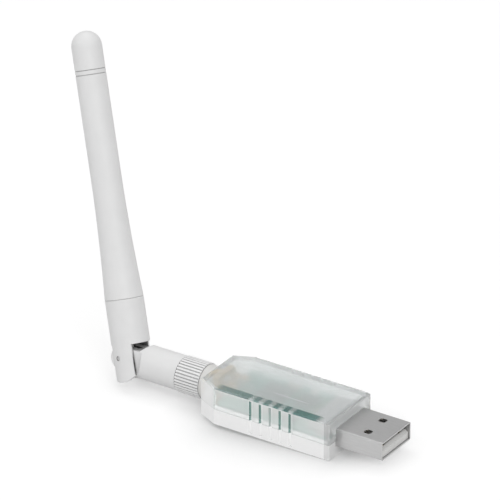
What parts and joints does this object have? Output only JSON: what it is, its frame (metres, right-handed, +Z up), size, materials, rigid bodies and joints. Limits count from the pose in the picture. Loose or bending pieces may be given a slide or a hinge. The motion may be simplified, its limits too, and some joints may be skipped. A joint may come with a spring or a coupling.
{
  "type": "usb radio stick",
  "caption": "Clear-cased USB radio stick with a screw-on antenna whose tapered mast tilts on a forked hinge and swivels round its plug.",
  "frame": {"origin": "axis of the USB plug at the housing's end face, where the socket stops", "axes": "+X along the plug, the way the plug points; +Z up through the clear cover; +Y to the stick's left seen from above with the plug pointing right"},
  "size_m": [0.0995, 0.031, 0.075],
  "materials": {
    "clear_cover": "clear, slightly hazy, smooth",
    "clear_tray": "clear, milky, smooth",
    "board": "green solder mask, satin",
    "chip_black": "moulded black, matt",
    "can_metal": "plated lid, satin",
    "ceramic_tan": "fired ceramic, matt",
    "ceramic_white": "fired ceramic, matt",
    "led_lens": "clear resin",
    "jack_brass": "plated, satin",
    "gold_brass": "plated, bright",
    "spring_bronze": "bare, satin",
    "white_insulator": "waxy, smooth",
    "plug_steel": "fine brushed, satin",
    "tongue_white": "moulded, satin",
    "collar_metal": "light satin plating",
    "antenna_plastic": "fine moulded grain, matt",
    "cable_white": "smooth jacket",
    "pin_steel": "ground steel",
    "wire_copper": "bare copper wire, drawn"
  },
  "bodies": {
    "stick": {"housing_cover": "clear_cover", "housing_tray": "clear_tray", "circuit_board": "board", "radio_chip": "chip_black", "bridge_chip": "chip_black", "radio_crystal": "can_metal", "voltage_regulator": "chip_black", "supply_capacitor": "ceramic_tan", "core_capacitor": "ceramic_tan", "radio_capacitor": "ceramic_tan", "match_inductor": "ceramic_white", "match_capacitor": "ceramic_tan", "led_resistor": "chip_black", "status_led": "led_lens", "antenna_jack": "jack_brass", "jack_insulator": "white_insulator", "jack_contact": "gold_brass", "usb_shell": "plug_steel", "usb_tongue": "tongue_white", "usb_contact_supply": "gold_brass", "usb_contact_minus": "gold_brass", "usb_contact_plus": "gold_brass", "usb_contact_ground": "gold_brass"},
    "ring": {"retaining_ring": "spring_bronze"},
    "nut": {"coupling_nut": "collar_metal", "knurled_grip": "antenna_plastic"},
    "swivel": {"swivel_base": "antenna_plastic", "plug_ferrule": "jack_brass", "plug_insulator": "white_insulator", "plug_pin": "gold_brass", "coax_lower": "cable_white"},
    "mast": {"antenna_fork": "antenna_plastic", "hinge_pin": "pin_steel", "mast_tube": "antenna_plastic", "tip_cap": "antenna_plastic", "coax_upper": "cable_white", "radiator_sleeve": "jack_brass", "radiator_wire": "wire_copper"}
  },
  "joints": [
    {"name": "antenna_draw", "type": "slide", "parent": "stick", "child": "ring", "axis": [-1, 0, 0], "range_m": [0, 0.00635]},
    {"name": "nut_turn", "type": "hinge", "parent": "ring", "child": "nut", "pos_m": [-0.0405, 0, 0], "axis": [-1, 0, 0], "range_deg": [0, 3240]},
    {"name": "antenna_swivel", "type": "hinge", "parent": "ring", "child": "swivel", "pos_m": [-0.048, 0, 0], "axis": [1, 0, 0], "continuous": true},
    {"name": "antenna_tilt", "type": "hinge", "parent": "swivel", "child": "mast", "pos_m": [-0.0603, 0, 0], "axis": [0, -0.9613, 0.2756], "range_deg": [-20, 70]}
  ],
  "couplings": [
    {"joint": "nut_turn", "follows": "antenna_draw", "rad_per_m": 8899.7}
  ]
}
